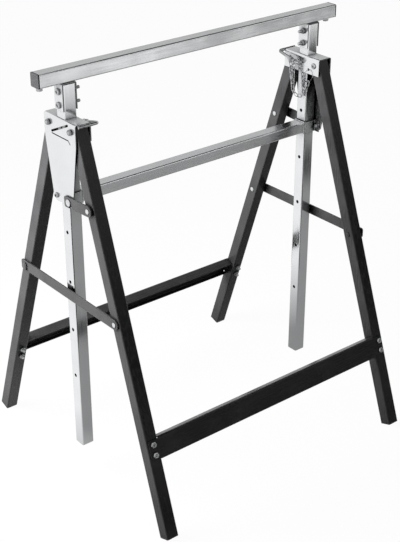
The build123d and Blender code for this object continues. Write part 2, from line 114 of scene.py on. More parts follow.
class TrestleSizes(PropertyGroup):
    """Places and sizes of the fittings, as on the solid model."""

    post_x: length_prop("Posts", "Middle to the axis of a post", 0.281)
    plate: length_prop("Plates", "Post axis to the outside of a head plate", 0.0162)
    pivot_along: length_prop("Pivots", "Post to the bolt that a leg turns on", 0.034)
    pivot_height: length_prop("Pivot height", "Floor to the bolts that the legs turn on", 0.7136)
    lean: angle_prop("Lean", "Lean of a leg", math.radians(19.14))
    splay: FloatProperty(name="Splay", description="Outward run of a leg for its length",
                         default=math.tan(math.radians(0.6)))
    leg_half: length_prop("Half leg", "Half the side of a leg", 0.0125)
    link_down: length_prop("Link", "Pivot to the short link along a leg", 0.137)
    brace_down: length_prop("Brace", "Pivot to the long brace along a leg", 0.341)
    link_out: length_prop("Link plane", "Post axis to the outside of a short link", 0.0196)
    brace_out: length_prop("Brace plane", "Post axis to the outside of a long brace", 0.01947)
    flat: length_prop("Flat bar", "Thickness of links and braces", 0.003)
    stud_along: length_prop("Hook studs", "Post to the stud that a link hooks over", 0.0205)
    stud_height: length_prop("Stud height", "Floor to the studs of the links", 0.5805)
    rivet: length_prop("Rivets", "Radius of a rivet head", 0.0048)
    rivet_height: length_prop("Rivet height", "Height of a rivet head", 0.0022)
    rivet_seat: length_prop("Rivet seat", "Play under a rivet head", 0.00015)
    stud: length_prop("Stud heads", "Radius of a stud head", 0.0065)
    stud_rise: length_prop("Stud head height", "Height of a stud head", 0.003)
    stud_neck: length_prop("Stud necks", "Radius of a stud where a hook lies on it", 0.004)
    m6: length_prop("Large bolts", "Radius of the bolts of saddles and low bars", 0.003)
    m6_across: length_prop("Large hexagons", "Width across flats of a large bolt", 0.010)
    m6_head: length_prop("Large heads", "Height of a large bolt's head", 0.004)
    m6_pitch: length_prop("Large threads", "Pitch of a large bolt's thread", 0.001)
    m5: length_prop("Small bolts", "Radius of the bolts of the yokes", 0.0025)
    m5_across: length_prop("Small hexagons", "Width across flats of a small bolt", 0.008)
    m5_head: length_prop("Small heads", "Height of a small bolt's head", 0.0036)
    m5_pitch: length_prop("Small threads", "Pitch of a small bolt's thread", 0.0008)
    pivot_nut: length_prop("Pivot nuts", "Width across flats of a pivot's nut", 0.0092)
    pivot_tip: length_prop("Pivot tips", "Pivot bolt beyond the outer plate", 0.0055)
    pivot_head: length_prop("Pivot heads", "Radius of a pivot's button head", 0.0056)
    pivot_rise: length_prop("Pivot head height", "Height of a pivot's button head", 0.0032)
    pivot_socket: length_prop("Pivot sockets", "Radius of the hollow in a button head", 0.0026)
    bead: length_prop("Weld bead", "Radius of a weld bead", 0.0016)
    chain_bend: length_prop("Chain bend", "Lowest point of a chain to the ends of its low turn", 0.0145)
    chain_turn: share_prop("Chain turn", "Share of the way to the pin where the low turn starts", 0.25)


class TrestleFinish(PropertyGroup):
    """Colours and gloss of the trestle's finishes."""

    zinc: colour_prop("Zinc", "Bright zinc plating", 0.83, 0.84, 0.85)
    zinc_dull: colour_prop("Dull zinc", "Clouds in the plating", 0.79, 0.80, 0.81)
    zinc_roughness: share_prop("Zinc roughness", "Gloss of the plating", 0.2)
    # Cut edges of sheet darken: partly bare steel, partly painted shadow of the gaps beside them.
    cut_share: share_prop("Cut edges", "Brightness left on the cut edges of sheet", 0.2)
    paint: colour_prop("Paint", "Black paint of the legs", 0.055, 0.055, 0.057)
    paint_roughness: share_prop("Paint roughness", "Gloss of the paint", 0.25)
    paint_worn: colour_prop("Worn paint", "Paint rubbed along the edges", 0.12, 0.12, 0.122)
    plastic: colour_prop("Plastic", "Plugs in the tube ends", 0.034, 0.034, 0.036)
    fastener: colour_prop("Fasteners", "Plating of bolts, pins and chains", 0.62, 0.63, 0.64)


class TrestleStage(PropertyGroup):
    """Camera, lamps and floor of the photo stage."""

    eye: point_prop("Eye", "Place of the camera", -1.3271, -1.6594, 1.4497)
    target: point_prop("Target", "Point that the camera looks at", 0.0028, 0.0, 0.3200)
    roll: angle_prop("Roll", "Turn of the camera about its view", -0.0024)
    lens: FloatProperty(name="Lens", description="Focal length on a 36 mm sensor", default=80.44)
    shift_x: FloatProperty(name="Shift X", description="Sideways shift of the picture", default=0.0045)
    shift_y: FloatProperty(name="Shift Y", description="Upward shift of the picture", default=0.0155)
    key: power_prop("Key", "Power of the large lamp on the left", 36.0)
    fill: power_prop("Fill", "Power of the lamp above", 0.6)
    ambient: FloatProperty(name="Ambient", description="Light from all round", default=0.03)
    floor_size: length_prop("Floor", "Width of the floor", 24.0)
    floor_glow: share_prop("Floor glow", "Share of the floor that shows plain white, without shadow", 0.97)
    floor_bounce: share_prop("Floor bounce", "Grey of the floor for the light that it throws back", 0.25)
    floor_tone: share_prop("Floor tone", "Grey of the floor under the shadow", 0.8)


class Nodes:
    """Small helper that adds and joins shader nodes in one tree."""

    def __init__(self, tree):
        self.tree = tree

    def add(self, kind, **values):
        node = self.tree.nodes.new(kind)
        for key, value in values.items():
            if hasattr(node, key):
                setattr(node, key, value)
            else:
                node.inputs[key.replace("_", " ").title()].default_value = value
        return node

    def join(self, source, target):
        self.tree.links.new(source, target)


def group_tree(name, inputs, outputs):
    """New shader group with float or colour sockets."""
    tree = bpy.data.node_groups.new(name, "ShaderNodeTree")
    for label, kind, default in inputs:
        socket = tree.interface.new_socket(name=label, in_out="INPUT", socket_type=kind)
        socket.default_value = default
    for label, kind in outputs:
        tree.interface.new_socket(name=label, in_out="OUTPUT", socket_type=kind)
    return tree, tree.nodes.new("NodeGroupInput"), tree.nodes.new("NodeGroupOutput")


def cloud_group():
    """Soft clouds and fine streaks, as on plated or painted tube."""
    tree, source, result = group_tree(
        "surface_clouds",
        [("Cloud Scale", "NodeSocketFloat", 18.0), ("Streak Scale", "NodeSocketFloat", 260.0),
         ("Stretch", "NodeSocketVector", (1, 1, 1))],
        [("Cloud", "NodeSocketFloat"), ("Streak", "NodeSocketFloat"), ("Grain", "NodeSocketFloat")])
    make = Nodes(tree)
    place = make.add("ShaderNodeTexCoord")
    clouds = make.add("ShaderNodeTexNoise", noise_dimensions="3D")
    clouds.inputs["Detail"].default_value = 4
    make.join(place.outputs["Object"], clouds.inputs["Vector"])
    make.join(source.outputs["Cloud Scale"], clouds.inputs["Scale"])
    make.join(clouds.outputs["Fac"], result.inputs["Cloud"])
    stretch = make.add("ShaderNodeVectorMath", operation="MULTIPLY")
    make.join(place.outputs["Object"], stretch.inputs[0])
    make.join(source.outputs["Stretch"], stretch.inputs[1])
    streaks = make.add("ShaderNodeTexNoise", noise_dimensions="3D")
    streaks.inputs["Detail"].default_value = 2
    make.join(stretch.outputs["Vector"], streaks.inputs["Vector"])
    make.join(source.outputs["Streak Scale"], streaks.inputs["Scale"])
    make.join(streaks.outputs["Fac"], result.inputs["Streak"])
    grain = make.add("ShaderNodeTexNoise", noise_dimensions="3D")
    grain.inputs["Scale"].default_value = 900
    grain.inputs["Detail"].default_value = 1
    make.join(place.outputs["Object"], grain.inputs["Vector"])
    make.join(grain.outputs["Fac"], result.inputs["Grain"])
    return tree


def edge_group():
    """Edges that are rounded and worn: a mask along them, broken up by grain, and the rounded normal."""
    tree, source, result = group_tree(
        "worn_edges",
        [("Radius", "NodeSocketFloat", 0.0008), ("Breaks", "NodeSocketFloat", 160.0)],
        [("Edge", "NodeSocketFloat"), ("Normal", "NodeSocketVector")])
    make = Nodes(tree)
    rounded = make.add("ShaderNodeBevel", samples=4)
    make.join(source.outputs["Radius"], rounded.inputs["Radius"])
    make.join(rounded.outputs["Normal"], result.inputs["Normal"])
    shape = make.add("ShaderNodeNewGeometry")
    facing = make.add("ShaderNodeVectorMath", operation="DOT_PRODUCT")
    make.join(rounded.outputs["Normal"], facing.inputs[0])
    make.join(shape.outputs["Normal"], facing.inputs[1])
    place = make.add("ShaderNodeTexCoord")
    breaks = make.add("ShaderNodeTexNoise", noise_dimensions="3D")
    breaks.inputs["Detail"].default_value = 3
    make.join(place.outputs["Object"], breaks.inputs["Vector"])
    make.join(source.outputs["Breaks"], breaks.inputs["Scale"])
    both = make.add("ShaderNodeMath", operation="MULTIPLY")
    make.join(ramp(make, facing.outputs["Value"], 1, 0, 0.9, 0.99), both.inputs[0])
    make.join(ramp(make, breaks.outputs["Fac"], 0, 1, 0.45, 0.65), both.inputs[1])
    make.join(both.outputs[0], result.inputs["Edge"])
    return tree


def cut_group():
    """Cut edges of folded sheet, which face along the trestle's depth: a mask over them, for darkening that
    is partly bare steel and partly painted shadow of the gaps beside them.
    """
    tree, _, result = group_tree("cut_edges", [], [("Cut", "NodeSocketFloat")])
    make = Nodes(tree)
    place = make.add("ShaderNodeTexCoord")
    parts = make.add("ShaderNodeSeparateXYZ")
    make.join(place.outputs["Normal"], parts.inputs["Vector"])
    depth = make.add("ShaderNodeMath", operation="ABSOLUTE")
    make.join(parts.outputs["Y"], depth.inputs[0])
    make.join(ramp(make, depth.outputs[0], 0, 1, 0.6, 0.9), result.inputs["Cut"])
    return tree


def ramp(make, source, low, high, at_low=0.35, at_high=0.65):
    """Map a value between two numbers."""
    node = make.add("ShaderNodeMapRange")
    node.inputs["From Min"].default_value = at_low
    node.inputs["From Max"].default_value = at_high
    node.inputs["To Min"].default_value = low
    node.inputs["To Max"].default_value = high
    make.join(source, node.inputs["Value"])
    return node.outputs["Result"]


def blend_colour(make, share, first, second):
    """Mix two colours by a value."""
    node = make.add("ShaderNodeMix", data_type="RGBA")
    make.join(share, node.inputs["Factor"])
    sides = [socket for socket in node.inputs if socket.type == "RGBA"]
    sides[0].default_value = first
    sides[1].default_value = second
    return colour_out(node)


def colour_out(node):
    """Colour output of a mix node."""
    return [socket for socket in node.outputs if socket.type == "RGBA"][0]


def finish_material(name, look, light, dark, roughness, metallic, stretch=(1, 1, 1), bump=0.02, spread=0.08,
                    cloud_scale=18.0, grime=0.006, grimy=0.06, worn=None, wear=0.3, shine=0.5, cut=1.0):
    """Principled finish whose colour, gloss and relief vary over the surface, worn along its edges and
    darkened by painted shade in hollows and between parts.
    """
    material = bpy.data.materials.new(name)
    material.use_nodes = True
    tree = material.node_tree
    tree.nodes.clear()
    make = Nodes(tree)
    out = make.add("ShaderNodeOutputMaterial")
    shader = make.add("ShaderNodeBsdfPrincipled")
    make.join(shader.outputs["BSDF"], out.inputs["Surface"])
    group = make.add("ShaderNodeGroup", node_tree=look["clouds"])
    group.inputs["Cloud Scale"].default_value = cloud_scale
    group.inputs["Stretch"].default_value = stretch
    edges = make.add("ShaderNodeGroup", node_tree=look["edges"])
    colour = blend_colour(make, ramp(make, group.outputs["Cloud"], 0, 1), dark, light)
    bare = make.add("ShaderNodeMix", data_type="RGBA")
    sides = [socket for socket in bare.inputs if socket.type == "RGBA"]
    make.join(ramp(make, edges.outputs["Edge"], 0, wear, 0, 1), bare.inputs["Factor"])
    make.join(colour, sides[0])
    sides[1].default_value = worn or light
    # Painted shade: ambient occlusion within grime darkens the colour towards grimy in hollows, slots and
    # between parts.
    corner = make.add("ShaderNodeAmbientOcclusion", samples=6)
    corner.inputs["Distance"].default_value = grime
    lit_share = ramp(make, corner.outputs["AO"], 0, 1, 0.3, 0.85)
    # Sheet edges facing along the depth darken with the painted shade: partly bare steel, partly painted
    # shadow of the gaps beside them.
    if cut < 1:
        bare_and_shadowed_edges = make.add("ShaderNodeGroup", node_tree=look["cuts"])
        left = make.add("ShaderNodeMath", operation="MULTIPLY")
        make.join(lit_share, left.inputs[0])
        make.join(ramp(make, bare_and_shadowed_edges.outputs["Cut"], 1, cut, 0, 1), left.inputs[1])
        lit_share = left.outputs[0]
    shade = blend_colour(make, lit_share, (grimy, grimy, grimy, 1), (1, 1, 1, 1))
    tint = make.add("ShaderNodeMix", data_type="RGBA", blend_type="MULTIPLY")
    tint.inputs["Factor"].default_value = 1.0
    sides = [socket for socket in tint.inputs if socket.type == "RGBA"]
    make.join(colour_out(bare), sides[0])
    make.join(shade, sides[1])
    make.join(colour_out(tint), shader.inputs["Base Color"])
    gloss = make.add("ShaderNodeMath", operation="ADD")
    make.join(ramp(make, group.outputs["Cloud"], roughness + spread / 2, roughness - spread / 2),
              gloss.inputs[0])
    make.join(ramp(make, group.outputs["Streak"], -spread / 2, spread / 2), gloss.inputs[1])
    make.join(gloss.outputs[0], shader.inputs["Roughness"])
    relief = make.add("ShaderNodeBump")
    relief.inputs["Strength"].default_value = bump
    relief.inputs["Distance"].default_value = 0.0005
    height = make.add("ShaderNodeMath", operation="ADD")
    make.join(group.outputs["Grain"], height.inputs[0])
    make.join(group.outputs["Streak"], height.inputs[1])
    make.join(height.outputs[0], relief.inputs["Height"])
    make.join(edges.outputs["Normal"], relief.inputs["Normal"])
    make.join(relief.outputs["Normal"], shader.inputs["Normal"])
    shader.inputs["Metallic"].default_value = metallic
    shader.inputs["Specular IOR Level"].default_value = shine
    return material


def dress(material, *names):
    """Give CAD nodes a finish."""
    for name in names:
        slots = NODES[name].data.materials
        slots.clear()
        slots.append(material)


def new_piece(name, mesh, material, body, replaced=()):
    """Turn a bmesh into a piece that rides on a body."""
    data = bpy.data.meshes.new(name)
    mesh.to_mesh(data)
    mesh.free()
    for face in data.polygons:
        face.use_smooth = True
    data.set_sharp_from_angle(angle=SHARP_ANGLE)
    data.materials.append(material)
    piece = bpy.data.objects.new(name, data)
    bpy.context.scene.collection.objects.link(piece)
    if body:
        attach(piece, body)
    if replaced:
        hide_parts(*replaced)
    return piece


def add_to(mesh, part):
    """Move one bmesh into another."""
    data = bpy.data.meshes.new("part")
    part.to_mesh(data)
    part.free()
    mesh.from_mesh(data)
    bpy.data.meshes.remove(data)


def turned_to(place, axis):
    """Matrix that sets an upright shape on a place, pointing along an axis."""
    return Matrix.Translation(place) @ Vector(axis).to_track_quat("Z", "Y").to_matrix().to_4x4()


def lathe(mesh, profile, place, axis, steps=28):
    """Add a turned piece: (radius, distance along the axis) pairs spun about an axis through a place."""
    part = bmesh.new()
    verts = [part.verts.new((radius, 0, along)) for radius, along in profile]
    edges = [part.edges.new(pair) for pair in zip(verts, verts[1:])]
    bmesh.ops.spin(part, geom=verts + edges, cent=(0, 0, 0), axis=(0, 0, 1), angle=math.tau, steps=steps,
                   use_merge=True)
    bmesh.ops.remove_doubles(part, verts=part.verts, dist=WELD)
    bmesh.ops.recalc_face_normals(part, faces=part.faces)
    bmesh.ops.transform(part, verts=part.verts, matrix=turned_to(place, axis))
    add_to(mesh, part)


def domed(radius, height, start, dimple=0.0):
    """Profile of a low round head standing at `start`, from its rim to its middle."""
    points = [(radius, start), (radius, start + 0.3 * height)]
    points += [(radius * math.cos(turn), start + height * (0.3 + 0.7 * math.sin(turn)))
               for turn in [math.radians(step) for step in (12, 24, 38, 52, 66, 78)]]
    if dimple:
        points += [(dimple * 0.9, start + height), (dimple * 0.7, start + height * 0.55),
                   (0, start + height * 0.5)]
    else:
        points += [(0, start + height)]
    return points


class TRESTLE_OT_finishes(Operator):
    """Give every tube, plate and fitting its finish"""

    bl_idname = "trestle.finishes"
    bl_label = "Finishes"

    def execute(self, context):
        look = context.scene.trestle_finish
        made = {"clouds": cloud_group(), "edges": edge_group(), "cuts": cut_group()}
        along_x, upright = (0.06, 1, 1), (1, 1, 0.06)

        def shaded(colour, share):
            return [value * share for value in colour[:3]] + [1]

        def metal(name, light, dark, roughness, **more):
            return finish_material(name, made, light, dark, roughness, 1.0, **more)

        def zinc(name, roughness, grime, **more):
            return metal(name, look.zinc, look.zinc_dull, roughness, grime=grime, bump=0.008, spread=0.05,
                         **more)

        def paint(name, stretch):
            # Paint darkens with painted shade within 2.5 cm of other parts.
            return finish_material(name, made, look.paint, shaded(look.paint, 0.7), look.paint_roughness, 0.0,
                                   stretch=stretch, bump=0.05, spread=0.1, grime=0.025,
                                   worn=look.paint_worn, wear=0.35, shine=0.28)

        gloss = look.zinc_roughness
        rail_zinc = metal("zinc_rail", look.zinc, shaded(look.zinc_dull, 0.96), gloss, stretch=along_x,
                          bump=0.006, spread=0.04)
        # Painted shade reaches 7 cm on the posts and yokes and 4 cm on the sheet, darkening the pockets round
        # the posts and inside the plates.
        post_zinc = zinc("zinc_posts", 0.6 * gloss, 0.07, stretch=upright)
        sheet_zinc = zinc("zinc_sheet", gloss, 0.04, cut=look.cut_share)
        yoke_zinc = zinc("zinc_yokes", gloss, 0.07)
        metal("zinc_welds", look.zinc_dull, shaded(look.zinc_dull, 0.6), 0.3, cloud_scale=300.0)
        # Chain and pins: painted shade reaching 4 and 12 mm between the links and round the pins.
        chain = metal("zinc_chain", look.zinc, shaded(look.fastener, 0.5), 0.2, cloud_scale=200.0,
                      grime=0.004, grimy=0.02)
        pin_steel = metal("zinc_pins", look.fastener, shaded(look.fastener, 0.4), 0.2, cloud_scale=90.0,
                          grime=0.012, grimy=0.02)
        # Nuts: a darker copy of the fastener steel, painted shade for the dark look of the nuts on the
        # plates.
        metal("zinc_nuts_shaded", shaded(look.fastener, 0.75), shaded(look.fastener, 0.5), 0.3, cloud_scale=120.0,
              grimy=0.03)
        metal("zinc_bright", look.zinc, shaded(look.zinc, 0.85), 0.3, cloud_scale=120.0)
        steel = metal("zinc_fasteners", look.fastener, shaded(look.fastener, 0.7), 0.25, cloud_scale=120.0,
                      grimy=0.03)
        leg_paint = paint("paint_legs", upright)
        bar_paint = paint("paint_bars", along_x)
        plug = finish_material("plug_plastic", made, look.plastic, shaded(look.plastic, 0.8), 0.5, 0.0,
                               bump=0.1)
        dress(rail_zinc, "rail", "mid_bar")
        dress(post_zinc, "post_left", "post_right")
        for end in ENDS:
            dress(sheet_zinc, f"saddle_{end}", f"head_{end}")
            dress(yoke_zinc, f"yoke_{end}")
            dress(plug, f"rail_plug_{end}")
            dress(pin_steel, f"lock_pin_{end}")
            dress(chain, f"pin_ring_{end}", f"chain_ring_{end}", f"chain_{end}")
            dress(bar_paint, f"brace_{end}", f"link_{end}")
        dress(steel, "rail_screws", "saddle_bolts", "saddle_nuts", "pivot_bolts", "pivot_nuts", "yoke_bolts",
              "hook_studs", "yoke_nuts")
        for side in SIDES:
            dress(bar_paint, f"low_bar_{side}")
            dress(bar_paint, f"{side}_brace_stud")
            dress(steel, f"{side}_bar_bolts", f"{side}_bar_nuts", f"{side}_rivets")
            for end in ENDS:
                dress(leg_paint, f"leg_{side}_{end}")
                dress(plug, f"foot_plug_{side}_{end}")
        return {"FINISHED"}


def end_point(size, sx, out, along, height):
    """Point at one end, given as out, along and height."""
    return Vector((sx * (size.post_x + out), sx * along, height))


def on_leg(size, down):
    """Along and height of a leg's axis, `down` from its pivot."""
    return (size.pivot_along + down * math.sin(size.lean), size.pivot_height - down * math.cos(size.lean))


class TRESTLE_OT_pivots(Operator):
    """Button heads of the bolts that the legs turn on"""

    bl_idname = "trestle.pivots"
    bl_label = "Pivot bolts"

    def execute(self, context):
        size = context.scene.trestle_sizes
        mesh = bmesh.new()
        for sx in ENDS.values():
            for along in (-size.pivot_along, size.pivot_along):
                seat = end_point(size, sx, -size.plate, along, size.pivot_height)
                reach, chamfer = 2 * size.plate + size.pivot_tip, 0.2 * size.m6
                shank = [(0, -reach), (size.m6 - chamfer, -reach), (size.m6, chamfer - reach), (size.m6, 0)]
                head = domed(size.pivot_head, size.pivot_rise, 0, size.pivot_socket)
                lathe(mesh, shank + head, seat, (-sx, 0, 0))
        new_piece("pivot_button_bolts", mesh, bpy.data.materials["zinc_fasteners"], "carriage",
                  ["pivot_bolts"])
        return {"FINISHED"}


def welded(node):
    """Mesh of a CAD node with its shared corners joined."""
    mesh = bmesh.new()
    mesh.from_mesh(NODES[node].data)
    bmesh.ops.remove_doubles(mesh, verts=mesh.verts, dist=WELD)
    return mesh


def shells(node, axis_at):
    """Each separate shell of a CAD node: its middle, its axis, and where it starts and stops along it."""
    source = welded(node)
    found = []
    for part in islands(source):
        axis = Vector(axis_at(sum((vert.co for vert in part), Vector()) / len(part)))
        along = [vert.co.dot(axis) for vert in part]
        across = [vert.co - axis * vert.co.dot(axis) for vert in part]
        middle = Vector([(min(values) + max(values)) / 2 for values in zip(*across)])
        found.append((middle, axis, min(along), max(along)))
    source.free()
    return found


def hex_bolt(mesh, middle, axis, tip, top, shank, across, head, pitch):
    """Hexagon bolt with a rounded rim, a dished head and a thread up to its tip."""
    corner, seat, dish = across / math.sqrt(3), top - head, 0.27 * across
    lathe(mesh, [(0, seat), (0.93 * corner, seat), (corner, seat + 0.08 * head), (corner, top - 0.22 * head),
                 (0.96 * corner, top - 0.1 * head), (0.86 * corner, top), (1.12 * dish, top),
                 (dish, top - 0.1 * head), (0.9 * dish, top - 0.34 * head), (0, top - 0.36 * head)],
          middle, axis, HEXAGON)
    core, turns = 0.84 * shank, round(THREAD_LENGTH / pitch)
    thread = [(0, tip), (0.72 * shank, tip), (core, tip + 0.4 * pitch)]
    for turn in range(turns):
        thread += [(shank, tip + (turn + 0.9) * pitch), (core, tip + (turn + 1.4) * pitch)]
    thread += [(shank, tip + (turns + 0.9) * pitch), (shank, seat), (0, seat)]
    lathe(mesh, thread, middle, axis, THREAD_STEPS)


def hex_nut(mesh, middle, axis, start, stop, shank, across):
    """Hexagon nut with rounded rims on both faces."""
    corner, rim, bore = across / math.sqrt(3), 0.12 * (stop - start), 1.17 * shank
    lathe(mesh, [(bore, start), (0.9 * corner, start), (corner, start + rim), (corner, stop - rim),
                 (0.9 * corner, stop), (1.08 * bore, stop), (bore, stop - rim), (bore, start)],
          middle, axis, HEXAGON)


class TRESTLE_OT_bolts(Operator):
    """Hexagon bolts and nuts of the saddles, the low bars and the yokes"""

    bl_idname = "trestle.bolts"
    bl_label = "Bolts and nuts"

    def execute(self, context):
        size = context.scene.trestle_sizes
        rise, run = math.sin(size.lean), math.cos(size.lean)

        def outwards(place):
            return (math.copysign(1, place.x), 0, 0)

        large = (size.m6, size.m6_across, size.m6_head, size.m6_pitch)
        small = (size.m5, size.m5_across, size.m5_head, size.m5_pitch)
        self.pair("saddle", "beam", outwards, *large)
        self.pair("yoke", "carriage", outwards, *small)
        for side, sy in SIDES.items():
            self.pair(f"{side}_bar", f"{side}_frame", lambda place: (0, sy * run, rise), *large)
        mesh = bmesh.new()
        for middle, axis, start, stop in shells("pivot_nuts", outwards):
            hex_nut(mesh, middle, axis, start, stop, size.m6, size.pivot_nut)
        new_piece("pivot_rimmed_nuts", mesh, bpy.data.materials["zinc_nuts_shaded"], "carriage",
                  ["pivot_nuts"])
        return {"FINISHED"}

    def pair(self, name, body, axis_at, shank, across, head, pitch):
        """Bolts and nuts of one joint, in the places of their CAD nodes."""
        steel = bpy.data.materials["zinc_fasteners"]
        mesh = bmesh.new()
        for middle, axis, tip, top in shells(f"{name}_bolts", axis_at):
            hex_bolt(mesh, middle, axis, tip, top, shank, across, head, pitch)
        new_piece(f"{name}_threaded_bolts", mesh, steel, body, [f"{name}_bolts"])
        mesh = bmesh.new()
        for middle, axis, start, stop in shells(f"{name}_nuts", axis_at):
            hex_nut(mesh, middle, axis, start, stop, shank, across)
        # Nuts take the darker copy of the fastener steel, painted shade.
        dark = bpy.data.materials["zinc_nuts_shaded"]
        new_piece(f"{name}_rimmed_nuts", mesh, dark, body, [f"{name}_nuts"])


class TRESTLE_OT_welds(Operator):
    """Weld beads round the ends of the mid bar"""

    bl_idname = "trestle.welds"
    bl_label = "Welds"

    def execute(self, context):
        bead = context.scene.trestle_sizes.bead
        low, high = (Vector(corner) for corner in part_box("mid_bar"))
        mesh = bmesh.new()
        corners = ((low.y, low.z), (high.y, low.z), (high.y, high.z), (low.y, high.z))
        for x in (low.x, high.x):
            ring = [Vector((x, y, z)) for y, z in corners]
            for start, stop in zip(ring, ring[1:] + ring[:1]):
                count = round((stop - start).length / (0.9 * bead))
                for step in range(count):
                    ripple = bead * (1 + 0.12 * math.sin(2.4 * step))
                    bmesh.ops.create_uvsphere(mesh, u_segments=8, v_segments=5, radius=ripple,
                                              matrix=Matrix.Translation(start.lerp(stop, step / count)))
        new_piece("mid_bar_welds", mesh, bpy.data.materials["zinc_welds"], "carriage")
        return {"FINISHED"}


class TRESTLE_OT_rivets(Operator):
    """Domed rivets and studs of the links and braces"""

    bl_idname = "trestle.rivets"
    bl_label = "Rivets and studs"

    def execute(self, context):
        size = context.scene.trestle_sizes
        steel = bpy.data.materials["zinc_bright"]
        black = bpy.data.materials["paint_bars"]
        for side, sy in SIDES.items():
            mesh = bmesh.new()
            for down, outside in ((size.link_down, size.link_out), (size.brace_down, size.brace_out)):
                self.through(mesh, size, sy, 1, down, outside, size.m6, RIVET_SLACK)
            new_piece(f"{side}_domed_rivets", mesh, steel, f"{side}_frame",
                      [f"{side}_rivets"])
            mesh = bmesh.new()
            self.through(mesh, size, -sy, -1, size.brace_down, size.brace_out, size.stud_neck, STUD_SLACK)
            new_piece(f"{side}_domed_stud", mesh, black, f"{side}_frame",
                      [f"{side}_brace_stud"])
        mesh = bmesh.new()
        for sx in ENDS.values():
            seat = end_point(size, sx, size.plate, size.stud_along, size.stud_height)
            neck = size.flat + HOOK_PLAY
            shank = [(0, -HOOK_DEPTH), (size.m5 - HOOK_CHAMFER, -HOOK_DEPTH),
                     (size.m5, HOOK_CHAMFER - HOOK_DEPTH), (size.m5, 0),
                     (size.stud_neck, 0), (size.stud_neck, neck)]
            lathe(mesh, shank + domed(size.stud, size.stud_rise, neck), seat, (sx, 0, 0))
        new_piece("hook_domed_studs", mesh, steel, "carriage", ["hook_studs"])
        return {"FINISHED"}

    def through(self, mesh, size, sx, front, down, outside, neck, slack):
        """Rivet or stud through a leg, with a collar under the flat bar and a head at each side."""
        head, rise = (size.rivet, size.rivet_height) if front > 0 else (size.stud, size.stud_rise)
        along, height = on_leg(size, down)
        back = down * size.splay - size.leg_half - size.rivet_seat
        length = outside + slack - back
        collar = 2 * (size.leg_half + size.rivet_seat)
        inside = length - size.flat - 1.5 * slack
        place = end_point(size, sx, back, front * along, height)
        tail = [(radius, -depth) for radius, depth in reversed(domed(size.rivet, size.rivet_height, 0))]
        shank = [(size.m6, 0), (size.m6, collar), (head, collar), (head, inside), (neck, inside),
                 (neck, length)]
        lathe(mesh, tail + shank + domed(head, rise, length), place, (sx, 0, 0))


class TRESTLE_OT_rings(Operator):
    """Split rings of two close turns in the plates and on the lock pins"""

    bl_idname = "trestle.rings"
    bl_label = "Split rings"

    def execute(self, context):
        steel = bpy.data.materials["zinc_bright"]
        for end in ENDS:
            self.ring(f"split_ring_{end}", f"chain_ring_{end}", steel, "carriage")
            self.ring(f"pin_split_rings_{end}", f"pin_ring_{end}", steel, f"pin_{end}")
        return {"FINISHED"}

    def ring(self, name, node, steel, body):
        """Two-turn coil in the place of each ring of a CAD node."""
        source = welded(node)
        mesh = bmesh.new()
        for part in islands(source):
            places = [vert.co for vert in part]
            centre = sum(places, Vector()) / len(places)
            spread = Matrix([[sum((p[i] - centre[i]) * (p[j] - centre[j]) for p in places) for j in range(3)]
                             for i in range(3)])
            axis = smallest_axis(spread)
            wire = max(abs((p - centre).dot(axis)) for p in places)
            radius = max((p - centre).length for p in places) - wire
            self.coil(mesh, centre, axis, radius, wire)
        source.free()
        new_piece(name, mesh, steel, body, [node])

    def coil(self, mesh, centre, axis, radius, wire, steps=88):
        """Coil of flattened wire, two turns side by side within the thickness of the ring."""
        part = bmesh.new()
        section = (Matrix.Translation((radius, 0, -wire / 2)) @ Matrix.Rotation(math.pi / 2, 4, "X")
                   @ Matrix.Diagonal((0.95 * wire, 0.47 * wire, 1, 1)))
        bmesh.ops.create_circle(part, segments=10, radius=1.0, matrix=section)
        bmesh.ops.spin(part, geom=part.verts[:] + part.edges[:], cent=(0, 0, 0), axis=(0, 0, 1),
                       dvec=(0, 0, wire / steps), angle=2 * math.tau, steps=steps, use_merge=False)
        bmesh.ops.holes_fill(part, edges=[edge for edge in part.edges if edge.is_boundary], sides=0)
        bmesh.ops.recalc_face_normals(part, faces=part.faces)
        bmesh.ops.transform(part, verts=part.verts, matrix=turned_to(centre, axis))
        add_to(mesh, part)


def islands(mesh):
    """Vertices of each separate shell of a mesh."""
    seen = set()
    for first in mesh.verts:
        if first in seen:
            continue
        seen.add(first)
        part = [first]
        for vert in part:
            for edge in vert.link_edges:
                other = edge.other_vert(vert)
                if other not in seen:
                    seen.add(other)
                    part.append(other)
        yield part


def smallest_axis(spread):
    """Direction in which a flat set of points spreads least."""
    turned = spread + Matrix.Identity(3) * 1e-12
    inverse = turned.inverted()
    inverse = inverse * (1 / max(abs(value) for row in inverse for value in row))
    axis = Vector((0.31, 0.53, 0.79))
    for _ in range(60):
        axis = (inverse @ axis).normalized()
    return axis


